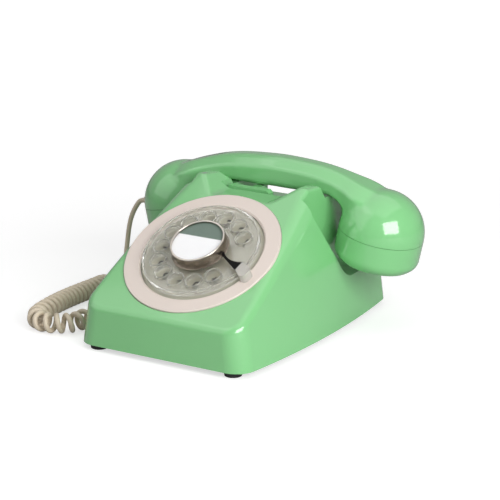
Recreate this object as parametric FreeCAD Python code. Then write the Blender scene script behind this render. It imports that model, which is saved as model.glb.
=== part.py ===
"""Rotary telephone with a moulded case, a geared dial, a twin-gong ringer and a corded handset.

Millimetres. X runs along the handset to the right, Y to the rear and Z up. The origin lies on the
floor, under the middle of the case.
"""
import FreeCAD
import Part
import math
import os
from FreeCAD import Placement, Rotation, Vector

# Fits
SLIDE_GAP = 0.3
SHAFT_GAP = 0.05
SEAM_GAP = 0.3

# Overall size
CASE_DEPTH = 210.0
HANDSET_LENGTH = 220.0
HEIGHT = 110.0

# Case
FRONT_HALF = 65.0
MIDDLE_HALF = 69.5
MIDDLE_Y = -15.0
REAR_HALF = 58.5
REAR_BOW = 8.0
FRONT_CORNER = 14.0
REAR_CORNER = 12.0
FRONT_LEAN = 0.13
MIDDLE_LEAN = 0.195
REAR_LEAN = 0.11
FRONT_DRAFT = 0.03
REAR_DRAFT = 0.03
LOFT_TOP = 120.0
FOOT_HEIGHT = 4.0
WALL = 2.5
EDGE_ROUND = 6.0
EDGE_TOP_ROUND = 13.0
DECK_Z = HEIGHT - 20.0
LIP_Y = 16.0
TOWER_HALF = HANDSET_LENGTH / 2 - 65.0
TROUGH_HALF = TOWER_HALF - 16.0
TROUGH_REAR_HALF = TOWER_HALF - 7.5
TROUGH_STEP_Y = 46.0
TROUGH_Z = HEIGHT - 38.5
TROUGH_CORNER = 5.0
TOWER_REAR_Y = 81.0
SHELF_Z = 34.0
SHELF_Y = 100.0
SCOOP_Y = 1.0
SCOOP_TOP_Z = HEIGHT - 26.0
SCOOP_FOOT_Y = 35.0
SCOOP_ROUND = 16.0

# Cradle horns
VALLEY_HALF = TOWER_HALF - 22.0
VALLEY_SLOPE = 0.66
VALLEY_ROUND = 9.0
LIP_ROUND = 7.0
CREST_ROUND = 2.5
HORN_BACK_Y = 25.0
HORN_END_Y = 32.0
HORN_Z = HEIGHT - 10.5
HORN_FALL = 1.3
REAR_HORN_Y = 62.0
REAR_HORN_LENGTH = 15.0
REAR_HORN_Z = HEIGHT - 15.0
SADDLE_DROP = 1.2

# Base
BASE_THICK = 2.5
FOOT_RADIUS = 6.3
FOOT_STUB_RADIUS = 2.5
FRONT_FOOT_X = 53.0
FRONT_FOOT_Y = -96.0
REAR_FOOT_X = 38.0
REAR_FOOT_Y = 84.0
BOSS_RADIUS = 4.0
FRONT_BOSS_X = 53.0
FRONT_BOSS_Y = -76.0
REAR_BOSS_X = 48.0
REAR_BOSS_Y = 80.0
SCREW_RADIUS = 1.5
SCREW_HEAD_RADIUS = 3.2
SCREW_HEAD = 1.4
BASE_SCREW_LENGTH = 12.0

# Dial
DIAL_Y = -51.5
DIAL_Z = 63.0
DIAL_TILT = 31.2
RING_RADIUS = 54.6
RING_INNER = RING_RADIUS - 11.6
RING_SUNK = 0.8
RING_PROUD = 1.2
APERTURE_RADIUS = RING_RADIUS - 8.6
PLATE_TOP = -0.7
PLATE_THICK = 1.5
WHEEL_RADIUS = RING_RADIUS - 13.6
WHEEL_LOW = 1.6
WHEEL_THICK = 2.2
WHEEL_RIM = 1.5
HOLE_COUNT = 12
HOLE_FIRST = 31.0
HOLE_STEP = 25.9
HOLE_PITCH = WHEEL_RADIUS - 11.4
HOLE_RADIUS = 5.3
COLLAR_WALL = 0.9
COLLAR_RISE = 0.9
COLLAR_DROP = 0.9
HUB_RADIUS = HOLE_PITCH - 10.2
HUB_WALL = 1.5
HUB_RISE = 7.2
CARD_THICK = 0.4
LENS_THICK = 0.6
LENS_CROWN = 1.0
STOP_RISE = 1.2
STOP_THICK = 1.2
STOP_END = ((38.6, -7.4), (37.0, -15.6))

# Dial movement, in levels along the dial's own axis
FRAME_TOP = -7.0
FRAME_THICK = 2.0
FRAME_RADIUS = RING_RADIUS - 12.6
FRAME_EAR = RING_RADIUS - 4.6
BACK_TOP = -34.0
PILLAR_RADIUS = 2.5
PILLAR_PITCH = 38.5
SPINDLE_RADIUS = 3.0
BUSH_RADIUS = 6.0
MAIN_TEETH = 60
PINION_TEETH = 15
MAIN_MODULE = 0.9
PULSE_TEETH = 40
GOVERNOR_TEETH = 12
GOVERNOR_MODULE = 0.6
BACKLASH = 0.24
MAIN_GEAR_TOP = -14.5
MAIN_GEAR_THICK = 2.5
DRUM_RADIUS = 15.0
DRUM_HEIGHT = 7.0
PULSE_ANGLE = 100.0
PULSE_SHAFT = 1.5
PULSE_GEAR_TOP = -29.0
PULSE_GEAR_THICK = 2.0
CAM_RADIUS = 4.5
GOVERNOR_PITCH = 36.0
GOVERNOR_SHAFT = 1.2
GOVERNOR_REACH = 6.0

# Handset
HANDSET_Y = 48.0
HANDLE_UNDER_Z = HEIGHT - 20.0
HANDLE_HALF = 13.8
CAP_RADIUS = 29.6
CAP_TILT = 12.0
DOME_RISE = 0.5
BLEND_ROUND = 12.0
SEAM_Z = HEIGHT - 44.0
CAP_DEPTH = 21.8
CUP_WALL = 2.5
COLLAR_REACH = 5.0
CAPSULE_RADIUS = 22.0
CAPSULE_THICK = 8.0
CHANNEL_RADIUS = 2.5
CHANNEL_Z = HEIGHT - 17.0
SOUND_HOLE = 1.3

# Hook switch
HOOK_LEFT = -25.0
HOOK_RIGHT = 8.0
HOOK_FRONT_Y = 19.0
HOOK_DEEP = 6.0
HOOK_TOP_Z = HEIGHT - 18.7
HOOK_TALL = 4.0
HOOK_X = -10.0
HOOK_STEM = 6.0
HOOK_PAD_Y = 42.0
LEVER_Z = HEIGHT - 49.0
LEVER_PIN_Y = 38.0
LEVER_PIN_RADIUS = 1.5

# Ringer
GONG_RADIUS = 22.0
GONG_X = 27.0
GONG_Y = 56.0
GONG_RIM_Z = 14.0
GONG_HEIGHT = 14.0
GONG_WALL = 1.5
CLAPPER_Y = 32.0
CLAPPER_Z = 18.0
CLAPPER_BALL = 3.2
COIL_X = 9.0
COIL_RADIUS = 6.5

# Electronics on the base
BOARD_Z = 9.5
BOARD_THICK = 1.6
BOARD_HALF = 38.0
BOARD_FRONT_Y = -40.0
BOARD_REAR_Y = 8.0
BOARD_POST = 3.0
BOARD_MARGIN = 5.0

# Sockets and handset cord
SOCKET_WIDTH = 16.0
SOCKET_TALL = 12.5
SOCKET_DEEP = 16.0
SOCKET_MOUTH = 9.8
SOCKET_MOUTH_TALL = 7.0
SOCKET_BASE_Z = 7.0
HANDSET_SOCKET_Y = -58.0
PLUG_OUT = 5.0
CORD_RADIUS = 1.8
CURL_RADIUS = 5.5
CURL_CLOSE = 4.7
CURL_OPEN = 7.0
CURL_START = 16.0
CURL_RAMP = 9.0
CURL_END = 84.0
OPEN_UNTIL = 82.0
OPEN_FADE = 24.0
CORD_STEP = 0.25
FLOOR_AXIS = 7.5
GROMMET_RADIUS = 3.4
GROMMET_LENGTH = 6.5
GROMMET_RISE = 3.2

FRONT_Y = -CASE_DEPTH / 2
REAR_Y = CASE_DEPTH / 2
BASE_TOP = FOOT_HEIGHT + BASE_THICK
WHEEL_TOP = WHEEL_LOW + WHEEL_THICK
SADDLE_Z = HANDLE_UNDER_Z - SADDLE_DROP
CAP_X = HANDSET_LENGTH / 2 - CAP_RADIUS - DOME_RISE * math.sin(math.radians(CAP_TILT))


def box(x, y, z):
    """A block between the two limits given for each axis."""
    return Part.makeBox(x[1] - x[0], y[1] - y[0], z[1] - z[0], Vector(x[0], y[0], z[0]))


def rod(radius, low, high, x=0.0, y=0.0):
    """An upright cylinder between two levels."""
    return Part.makeCylinder(radius, high - low, Vector(x, y, low))


def bar_along(start, direction, radius, length):
    return Part.makeCylinder(radius, length, start, direction)


def outline(points, place):
    """A flat face from corners (a, b, radius), each rounded where its radius is not zero."""
    corners = []
    for index, (a, b, radius) in enumerate(points):
        before = points[index - 1]
        after = points[(index + 1) % len(points)]
        here = Vector(a, b, 0)
        back = (Vector(before[0], before[1], 0) - here).normalize()
        ahead = (Vector(after[0], after[1], 0) - here).normalize()
        half = back.getAngle(ahead) / 2
        reach = radius / math.tan(half)
        crown = here + (back + ahead).normalize() * (radius / math.sin(half) - radius) if radius else here
        corners.append((here + back * reach, crown, here + ahead * reach))
    edges = []
    for index, (start, crown, end) in enumerate(corners):
        if points[index][2]:
            edges.append(Part.Arc(place(start), place(crown), place(end)).toShape())
        following = corners[(index + 1) % len(corners)][0]
        if (following - end).Length > 1e-6:
            edges.append(Part.LineSegment(place(end), place(following)).toShape())
    return Part.Face(Part.Wire(edges))


def side_prism(points, low, high):
    """A prism along X whose section is given as (y, z, radius)."""
    face = outline(points, lambda p: Vector(low, p.x, p.y))
    return face.extrude(Vector(high - low, 0, 0))


def front_prism(points, low, high):
    """A prism along Y whose section is given as (x, z, radius)."""
    face = outline(points, lambda p: Vector(p.x, low, p.y))
    return face.extrude(Vector(0, high - low, 0))


def plan_prism(points, low, high):
    """A prism along Z whose section is given as (x, y, radius)."""
    face = outline(points, lambda p: Vector(p.x, p.y, low))
    return face.extrude(Vector(0, 0, high - low))


def lathe(points):
    """A solid of revolution about Z from corners (r, z, radius)."""
    face = outline(points, lambda p: Vector(p.x, 0, p.y))
    return face.revolve(Vector(0, 0, 0), Vector(0, 0, 1), 360)


def mirrored(shape):
    return shape.mirror(Vector(0, 0, 0), Vector(1, 0, 0))


def both_sides(shape):
    return shape.fuse(mirrored(shape))


def placed(shape, placement):
    copy = shape.copy()
    copy.Placement = placement.multiply(copy.Placement)
    return copy


def on_dial(shape):
    """Puts a piece drawn about its own axis onto the sloping dial face."""
    spot = Vector(0, DIAL_Y, DIAL_Z)
    return placed(shape, Placement(spot, Rotation(Vector(1, 0, 0), DIAL_TILT)))


def polar(radius, degrees):
    angle = math.radians(degrees)
    return radius * math.cos(angle), radius * math.sin(angle)


def face_z(y):
    """Height of the sloping face above a point of the middle line."""
    return DIAL_Z + (y - DIAL_Y) * math.tan(math.radians(DIAL_TILT))


def plan_wire(z, inset):
    """The case's outline at one level: straight front, bowed sides and rear."""
    rise = z - FOOT_HEIGHT
    front = FRONT_Y + FRONT_DRAFT * rise + inset
    rear = REAR_Y - REAR_DRAFT * rise - inset
    side = rear - REAR_BOW
    front_half = FRONT_HALF - FRONT_LEAN * rise - inset
    middle_half = MIDDLE_HALF - MIDDLE_LEAN * rise - inset
    rear_half = REAR_HALF - REAR_LEAN * rise - inset
    right = Part.Arc(Vector(front_half, front, z), Vector(middle_half, MIDDLE_Y, z),
                     Vector(rear_half, side, z))
    back = Part.Arc(Vector(rear_half, side, z), Vector(0, rear, z), Vector(-rear_half, side, z))
    left = Part.Arc(Vector(-rear_half, side, z), Vector(-middle_half, MIDDLE_Y, z),
                    Vector(-front_half, front, z))
    edge = Part.LineSegment(Vector(-front_half, front, z), Vector(front_half, front, z))
    return Part.Wire([edge.toShape(), right.toShape(), back.toShape(), left.toShape()])


def tub(inset, low):
    """The leaning walls of the case, with rounded upright corners."""
    body = Part.makeLoft([plan_wire(low, inset), plan_wire(LOFT_TOP, inset)], True, True)
    front = []
    rear = []
    for edge in body.Edges:
        ends = [vertex.Point for vertex in edge.Vertexes]
        if abs(ends[0].z - ends[-1].z) > LOFT_TOP / 2:
            (front if ends[0].y < 0 else rear).append(edge)
    body = body.makeFillet(FRONT_CORNER - inset, front)
    rear = [edge for edge in body.Edges
            if abs(edge.Vertexes[0].Z - edge.Vertexes[-1].Z) > LOFT_TOP / 2
            and edge.Vertexes[0].Y > 0]
    return body.makeFillet(REAR_CORNER - inset, rear)


def profile(inset):
    """The side view of the case that the walls are cut to: outside up to the horns, inside to the deck."""
    slope = math.radians(DIAL_TILT)
    sunk = inset / math.cos(slope)
    top = DECK_Z - inset if inset else HORN_Z
    saddle = SADDLE_Z - inset
    far = 2 * CASE_DEPTH
    bend_y = DIAL_Y + (top - DIAL_Z + sunk) / math.tan(slope)
    if inset:
        crest = [(LIP_Y - inset, top, 0), (LIP_Y + 2 - inset, saddle, 0)]
    else:
        crest = [(HORN_BACK_Y, HORN_Z - HORN_FALL, 0), (HORN_END_Y, saddle, 0)]
    points = [(-far, -far, 0), (-far, face_z(-far) - sunk, 0), (bend_y, top, 0)] + crest
    points += [(TOWER_REAR_Y - inset, saddle, 4.0), (SHELF_Y - inset, SHELF_Z - inset, 0),
               (far, SHELF_Z - inset, 0), (far, -far, 0)]
    return side_prism(points, -CASE_DEPTH, CASE_DEPTH)


def scoop(inset):
    """The hollow beside the cradle that a cap of the handset hangs in, on the right."""
    top = 2 * LOFT_TOP
    far = 2 * CASE_DEPTH
    points = [(SCOOP_Y - inset, top, 0), (SCOOP_Y - inset, SCOOP_TOP_Z, 8.0),
              (SCOOP_FOOT_Y - inset, SHELF_Z - inset, SCOOP_ROUND), (far, SHELF_Z - inset, 0),
              (far, top, 0)]
    return side_prism(points, TOWER_HALF - inset, CASE_DEPTH)


def trough(inset):
    """The open way between the horns, under the handle."""
    top = 2 * LOFT_TOP
    low = TROUGH_Z - inset
    cuts = []
    for width, start in ((TROUGH_HALF, LIP_Y), (TROUGH_REAR_HALF, TROUGH_STEP_Y)):
        half = width + inset
        points = [(-half, low, TROUGH_CORNER), (half, low, TROUGH_CORNER), (half, top, 0), (-half, top, 0)]
        cuts.append(front_prism(points, start - inset, CASE_DEPTH))
    return cuts[0].fuse(cuts[1]).removeSplitter()


def valley():
    """What is taken away between the two front horns: a flat floor and smooth flanks."""
    run = TOWER_HALF - VALLEY_HALF
    top = DECK_Z + run * VALLEY_SLOPE
    far = 2 * LOFT_TOP
    points = [(-VALLEY_HALF, DECK_Z, VALLEY_ROUND), (VALLEY_HALF, DECK_Z, VALLEY_ROUND),
              (TOWER_HALF, top, 0), (TOWER_HALF, far, 0), (-TOWER_HALF, far, 0), (-TOWER_HALF, top, 0)]
    return front_prism(points, FRONT_Y / 2, HORN_END_Y + 1)


def rear_horn():
    """The low horn behind the handle, on the right."""
    low = TROUGH_Z - WALL
    end = REAR_HORN_Y + REAR_HORN_LENGTH
    side = [(REAR_HORN_Y - 3, low, 0), (REAR_HORN_Y - 3, SADDLE_Z, 0), (REAR_HORN_Y, SADDLE_Z, 2.0),
            (REAR_HORN_Y + 3, REAR_HORN_Z, 2.0), (end - 5, REAR_HORN_Z - 0.5, 2.0), (end, SADDLE_Z, 0),
            (end, low, 0)]
    return side_prism(side, TROUGH_REAR_HALF, TOWER_HALF)


def face_distance(point, inset):
    slope = math.radians(DIAL_TILT)
    normal = Vector(0, -math.sin(slope), math.cos(slope))
    return abs((point - Vector(0, DIAL_Y, DIAL_Z)).dot(normal) + inset)


def edge_rounded(body, inset):
    """The sloping face's edge, rounded more and more towards its top. Worked on one half."""
    far = 2 * CASE_DEPTH
    half = body.common(box((0, far), (-far, far), (-far, far)))
    side = []
    for edge in half.Edges:
        points = edge.discretize(5)
        on_face = all(face_distance(p, inset) < 0.01 for p in points)
        if on_face and min(p.x for p in points) > 1 and abs(points[0].y - points[-1].y) > FRONT_HALF:
            side.append(edge)
    rounds = [EDGE_TOP_ROUND - inset, EDGE_ROUND - inset]
    if side[0].Vertexes[0].Z < side[0].Vertexes[-1].Z:
        rounds.reverse()
    return both_sides(half.makeFillet(*rounds, side)).removeSplitter()


def case_form(inset, low):
    """The space inside the case's walls, as one closed body."""
    body = edge_rounded(tub(inset, low).common(profile(inset)), inset)
    return body.cut(both_sides(scoop(inset))).cut(trough(inset))


def outer_form():
    """The outside of the case as one closed body, with its cradle."""
    body = edge_rounded(tub(0, FOOT_HEIGHT).common(profile(0)), 0)
    body = body.cut(valley()).cut(both_sides(scoop(0)))
    lips = []
    for edge in body.Edges:
        points = edge.discretize(7)
        inside = all(abs(p.x) < TOWER_HALF - 0.1 and p.z > DECK_Z - 0.1 for p in points)
        level = all(p.z > HORN_Z - 0.01 for p in points)
        if inside and not level and all(face_distance(p, 0) < 0.01 for p in points):
            lips.append(edge)
    body = body.makeFillet(LIP_ROUND, lips)
    crests = []
    for edge in body.Edges:
        points = edge.discretize(5)
        high = all(p.z > SADDLE_Z + 0.2 and p.y > 0 for p in points)
        if high and all(abs(p.x) > VALLEY_HALF + 1 and p.y < HORN_END_Y + 0.1 for p in points):
            crests.append(edge)
    body = body.makeFillet(CREST_ROUND, crests)
    return body.cut(trough(0)).fuse(both_sides(rear_horn())).removeSplitter()


def bosses(depth):
    """Screw bosses that hang from the roof of the case."""
    shape = None
    for x, y in base_screw_spots():
        pillar = rod(BOSS_RADIUS, BASE_TOP, LOFT_TOP, x, y)
        shape = pillar if shape is None else shape.fuse(pillar)
    for x, y in dial_screw_spots():
        shape = shape.fuse(on_dial(rod(BOSS_RADIUS, FRAME_TOP, 0, x, y)))
    return shape.common(case_form(depth, FOOT_HEIGHT - 1))


def base_screw_spots():
    return [(-FRONT_BOSS_X, FRONT_BOSS_Y), (FRONT_BOSS_X, FRONT_BOSS_Y),
            (-REAR_BOSS_X, REAR_BOSS_Y), (REAR_BOSS_X, REAR_BOSS_Y)]


def dial_screw_spots():
    return [polar(FRAME_EAR, angle) for angle in (90, 210, 330)]


def case_shell():
    shape = outer_form()
    shape = shape.cut(case_form(WALL, FOOT_HEIGHT - WALL))
    shape = shape.fuse(bosses(WALL / 2))
    shape = shape.cut(on_dial(rod(RING_RADIUS + SLIDE_GAP, -RING_SUNK, RING_RADIUS)))
    shape = shape.cut(on_dial(rod(APERTURE_RADIUS, FRAME_TOP, 1)))
    for x, y in base_screw_spots():
        shape = shape.cut(rod(SCREW_RADIUS + SHAFT_GAP, 0, BASE_TOP + BASE_SCREW_LENGTH, x, y))
    for x, y in dial_screw_spots():
        shape = shape.cut(on_dial(rod(SCREW_RADIUS + SHAFT_GAP, FRAME_TOP - 1, -RING_SUNK - 1, x, y)))
    slot = HOOK_STEM / 2 + SLIDE_GAP
    shape = shape.cut(box((HOOK_X - slot, HOOK_X + slot),
                          (HOOK_FRONT_Y - SLIDE_GAP, HOOK_FRONT_Y + HOOK_STEM + SLIDE_GAP),
                          (TROUGH_Z - 2 * WALL, TROUGH_Z + 1)))
    half = SOCKET_WIDTH / 2 + SLIDE_GAP
    tall = (SOCKET_BASE_Z - SLIDE_GAP, SOCKET_BASE_Z + SOCKET_TALL + SLIDE_GAP)
    shape = shape.cut(box((-half, half), (REAR_Y - SOCKET_DEEP, REAR_Y + 1), tall))
    middle = HANDSET_SOCKET_Y
    return shape.cut(box((-MIDDLE_HALF - 1, -MIDDLE_HALF + SOCKET_DEEP),
                         (middle - half, middle + half), tall))


def base_plate():
    inset = WALL + SLIDE_GAP + MIDDLE_LEAN * BASE_THICK
    face = Part.Face(plan_wire(FOOT_HEIGHT, inset))
    plate = face.extrude(Vector(0, 0, BASE_THICK))
    upright = [edge for edge in plate.Edges if abs(edge.Vertexes[0].Z - edge.Vertexes[-1].Z) > 1]
    plate = plate.makeFillet(FRONT_CORNER - WALL, upright)
    for x, y in board_post_spots():
        plate = plate.fuse(rod(BOARD_POST, FOOT_HEIGHT + 1, BOARD_Z, x, y))
    for x, y in base_screw_spots():
        plate = plate.cut(rod(SCREW_RADIUS + SLIDE_GAP, 0, BASE_TOP + 1, x, y))
        plate = plate.cut(rod(SCREW_HEAD_RADIUS + SLIDE_GAP, 0, FOOT_HEIGHT + SCREW_HEAD, x, y))
    for _, x, y in foot_spots():
        plate = plate.cut(rod(FOOT_STUB_RADIUS + SHAFT_GAP, 0, BASE_TOP + 1, x, y))
    return plate


def base_screws():
    screws = []
    for x, y in base_screw_spots():
        head = rod(SCREW_HEAD_RADIUS, FOOT_HEIGHT + 0.1, FOOT_HEIGHT + SCREW_HEAD, x, y)
        shank = rod(SCREW_RADIUS, FOOT_HEIGHT + SCREW_HEAD, BASE_TOP + BASE_SCREW_LENGTH - 1, x, y)
        cross = box((x - 2, x + 2), (y - 0.4, y + 0.4), (FOOT_HEIGHT, FOOT_HEIGHT + 0.8))
        screws.append(head.fuse(shank).cut(cross))
    return Part.makeCompound(screws)


def foot_spots():
    return [("foot_front_left", -FRONT_FOOT_X, FRONT_FOOT_Y),
            ("foot_front_right", FRONT_FOOT_X, FRONT_FOOT_Y),
            ("foot_rear_left", -REAR_FOOT_X, REAR_FOOT_Y),
            ("foot_rear_right", REAR_FOOT_X, REAR_FOOT_Y)]


def foot(x, y):
    pad = lathe([(0, 0, 0), (FOOT_RADIUS - 0.6, 0, 0.8), (FOOT_RADIUS, FOOT_HEIGHT, 0),
                 (FOOT_STUB_RADIUS, FOOT_HEIGHT, 0), (FOOT_STUB_RADIUS, BASE_TOP + 1, 0),
                 (0, BASE_TOP + 1, 0)])
    pad.translate(Vector(x, y, 0))
    return pad


# Electronics on the base
def board_post_spots():
    half = BOARD_HALF - BOARD_MARGIN
    rows = (BOARD_FRONT_Y + BOARD_MARGIN, BOARD_REAR_Y - BOARD_MARGIN)
    return [(x, y) for x in (-half, half) for y in rows]


def circuit_board():
    return box((-BOARD_HALF, BOARD_HALF), (BOARD_FRONT_Y, BOARD_REAR_Y),
               (BOARD_Z, BOARD_Z + BOARD_THICK))


def board_components():
    low = BOARD_Z + BOARD_THICK
    middle = (BOARD_FRONT_Y + BOARD_REAR_Y) / 2
    chip = box((-8, 8), (middle - 4, middle + 4), (low, low + 3))
    coil = box((15, 31), (middle - 7, middle + 7), (low, low + 9))
    cans = [rod(4, low, low + 8, x, middle + 10) for x in (-25, -14, 0)]
    return Part.makeCompound([chip, coil] + cans)


def socket_block():
    """A modular socket that faces +Y, with its mouth at y = 0."""
    half = SOCKET_WIDTH / 2
    mouth = SOCKET_MOUTH / 2
    middle = SOCKET_BASE_Z + SOCKET_TALL / 2
    block = box((-half, half), (-SOCKET_DEEP, 0), (SOCKET_BASE_Z, SOCKET_BASE_Z + SOCKET_TALL))
    tall = SOCKET_MOUTH_TALL / 2
    block = block.cut(box((-mouth, mouth), (2 - SOCKET_DEEP, 1), (middle - tall, middle + tall)))
    foot_block = box((-half, half), (-SOCKET_DEEP, -SOCKET_DEEP / 2), (BASE_TOP, SOCKET_BASE_Z))
    return block.fuse(foot_block)


def line_socket_y():
    return REAR_Y - REAR_DRAFT * (SOCKET_BASE_Z + SOCKET_TALL) - 1


def line_socket():
    return placed(socket_block(), Placement(Vector(0, line_socket_y(), 0), Rotation()))


def side_half(y, z):
    """Half-width of the case at a point of its side wall."""
    arc = plan_wire(z, 0).Edges[1].Curve
    away = y - arc.Center.y
    return arc.Center.x + math.sqrt(arc.Radius ** 2 - away ** 2)


def handset_socket_x():
    return -side_half(HANDSET_SOCKET_Y, SOCKET_BASE_Z + SOCKET_TALL) + 1


def handset_socket():
    turn = Rotation(Vector(0, 0, 1), 90)
    return placed(socket_block(), Placement(Vector(handset_socket_x(), HANDSET_SOCKET_Y, 0), turn))


def dial_ring():
    return on_dial(lathe([(RING_INNER, -RING_SUNK, 0), (RING_RADIUS, -RING_SUNK, 0),
                          (RING_RADIUS, RING_PROUD, 0.6), (RING_INNER + 1.2, RING_PROUD, 0.4),
                          (RING_INNER, RING_PROUD - 1.0, 0)]))


def number_plate():
    radius = RING_INNER - SLIDE_GAP
    low = PLATE_TOP - PLATE_THICK
    skirt = FRAME_RADIUS - 3
    return on_dial(lathe([(SPINDLE_RADIUS + 1, low, 0), (SPINDLE_RADIUS + 1, PLATE_TOP, 0),
                          (radius, PLATE_TOP, 0.3), (radius, low, 0), (skirt, low, 0),
                          (skirt, FRAME_TOP, 0), (skirt - 2, FRAME_TOP, 0), (skirt - 2, low, 0)]))


def hole_spots():
    return [polar(HOLE_PITCH, HOLE_FIRST + HOLE_STEP * index) for index in range(HOLE_COUNT)]


def finger_wheel():
    top = WHEEL_TOP
    wheel = lathe([(SPINDLE_RADIUS + SHAFT_GAP, WHEEL_LOW, 0), (WHEEL_RADIUS - WHEEL_RIM, WHEEL_LOW, 0),
                   (WHEEL_RADIUS - WHEEL_RIM, WHEEL_LOW - 0.6, 0), (WHEEL_RADIUS, WHEEL_LOW - 0.6, 0.4),
                   (WHEEL_RADIUS, top + 0.6, 0.4), (WHEEL_RADIUS - WHEEL_RIM, top + 0.6, 0.4),
                   (WHEEL_RADIUS - WHEEL_RIM - 0.6, top, 0), (SPINDLE_RADIUS + SHAFT_GAP, top, 0)])
    for x, y in hole_spots():
        wheel = wheel.fuse(rod(HOLE_RADIUS + COLLAR_WALL, WHEEL_LOW - COLLAR_DROP, top + COLLAR_RISE, x, y))
    for x, y in hole_spots():
        wheel = wheel.cut(rod(HOLE_RADIUS, WHEEL_LOW - 5, top + 5, x, y))
    return on_dial(wheel)


def hub_cup():
    top = WHEEL_TOP + HUB_RISE
    inner = HUB_RADIUS - HUB_WALL
    return on_dial(lathe([(SPINDLE_RADIUS + SHAFT_GAP, WHEEL_TOP, 0), (HUB_RADIUS, WHEEL_TOP, 0),
                          (HUB_RADIUS - 0.4, top, 0), (inner, top, 0),
                          (inner, top - LENS_THICK - CARD_THICK, 0),
                          (inner - 1, top - LENS_THICK - CARD_THICK, 0), (inner - 1, WHEEL_TOP + 1, 0),
                          (SPINDLE_RADIUS + SHAFT_GAP, WHEEL_TOP + 1, 0)]))


def hub_card():
    top = WHEEL_TOP + HUB_RISE - LENS_THICK
    return on_dial(rod(HUB_RADIUS - HUB_WALL - SHAFT_GAP, top - CARD_THICK, top))


def hub_lens():
    top = WHEEL_TOP + HUB_RISE
    radius = HUB_RADIUS - HUB_WALL - SHAFT_GAP
    clear = radius - 1.2
    lens = rod(radius, top - LENS_THICK, top)
    ball = (clear ** 2 + LENS_CROWN ** 2) / (2 * LENS_CROWN)
    crown = Part.makeSphere(ball, Vector(0, 0, top + LENS_CROWN - ball))
    return on_dial(lens.fuse(crown.common(rod(clear, top, top + LENS_CROWN + 1))))


def hub_ring():
    top = WHEEL_TOP + HUB_RISE
    inner = HUB_RADIUS - HUB_WALL - 0.9
    return on_dial(lathe([(inner, top, 0), (HUB_RADIUS - 0.4, top, 0), (HUB_RADIUS - 0.4, top + 0.5, 0.3),
                          (HUB_RADIUS - 1.4, top + 1.2, 0.5), (inner, top + 0.4, 0)]))


def hub_screw():
    low = WHEEL_TOP + 1
    head = rod(SPINDLE_RADIUS + 2, low, low + 2)
    slot = box((-6, 6), (-0.5, 0.5), (low + 1.2, low + 3))
    return on_dial(head.fuse(rod(SCREW_RADIUS, WHEEL_TOP - 6, low)).cut(slot))


def finger_stop():
    """A blade over the wheel, from its bracket to the hub."""
    low = WHEEL_TOP + COLLAR_RISE + STOP_RISE
    near = HUB_RADIUS + 0.9
    upper = Vector(*polar(near, -3), low)
    lower = Vector(*polar(near, -12), low)
    outer, inner = [Vector(x, y, low) for x, y in STOP_END]
    concave = Part.Arc(upper, Vector(29.0, -7.6, low), outer).toShape()
    corners = [outer, inner, lower, upper]
    edges = [concave] + [Part.LineSegment(a, b).toShape() for a, b in zip(corners, corners[1:])]
    return on_dial(Part.Face(Part.Wire(edges)).extrude(Vector(0, 0, STOP_THICK)))


def stop_bracket():
    """The clear block on the dial ring that holds the blade's outer end."""
    low = WHEEL_TOP + COLLAR_RISE + 0.5
    high = WHEEL_TOP + COLLAR_RISE + STOP_RISE + STOP_THICK + 0.6
    outer, inner = STOP_END
    plan = [(outer[0], outer[1], 0), (47.5, -12.5, 3.0), (45.0, -22.5, 3.0), (inner[0], inner[1], 0)]
    arm = plan_prism(plan, low, high)
    foot_block = plan_prism(plan, RING_PROUD, high).cut(rod(RING_INNER + 0.4, 0, high + 1))
    return on_dial(arm.fuse(foot_block).removeSplitter())


def dial_frame():
    low = FRAME_TOP - FRAME_THICK
    plate = rod(FRAME_RADIUS, low, FRAME_TOP)
    for x, y in dial_screw_spots():
        ear = rod(BOSS_RADIUS + 1, low, FRAME_TOP, x, y)
        arm = bar_arm(x, y, low)
        plate = plate.fuse(ear).fuse(arm)
    plate = plate.cut(rod(BUSH_RADIUS + SHAFT_GAP, low - 1, FRAME_TOP + 1))
    for x, y in dial_screw_spots():
        plate = plate.cut(rod(SCREW_RADIUS + SLIDE_GAP, low - 1, FRAME_TOP + 1, x, y))
    plate = plate.cut(rod(PULSE_SHAFT + SHAFT_GAP, low - 1, FRAME_TOP + 1, *pulse_spot()))
    plate = plate.cut(rod(GOVERNOR_SHAFT + SHAFT_GAP, low - 1, FRAME_TOP + 1, *governor_spot()))
    return on_dial(plate.removeSplitter())


def bar_arm(x, y, low):
    """A flat arm from the middle of the dial frame out to one of its screws."""
    length = math.hypot(x, y)
    arm = box((0, length), (-BOSS_RADIUS, BOSS_RADIUS), (low, FRAME_TOP))
    arm.rotate(Vector(0, 0, 0), Vector(0, 0, 1), math.degrees(math.atan2(y, x)))
    return arm


def dial_bush():
    top = PLATE_TOP - PLATE_THICK - SLIDE_GAP
    low = MAIN_GEAR_TOP + SLIDE_GAP
    bore = SPINDLE_RADIUS + SHAFT_GAP
    return on_dial(lathe([(bore, low, 0), (BUSH_RADIUS, low, 0), (BUSH_RADIUS, FRAME_TOP, 0),
                          (BUSH_RADIUS + 2, FRAME_TOP, 0), (BUSH_RADIUS + 2, FRAME_TOP + 1.5, 0),
                          (BUSH_RADIUS, FRAME_TOP + 1.5, 0), (BUSH_RADIUS, top, 0), (bore, top, 0)]))


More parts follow.
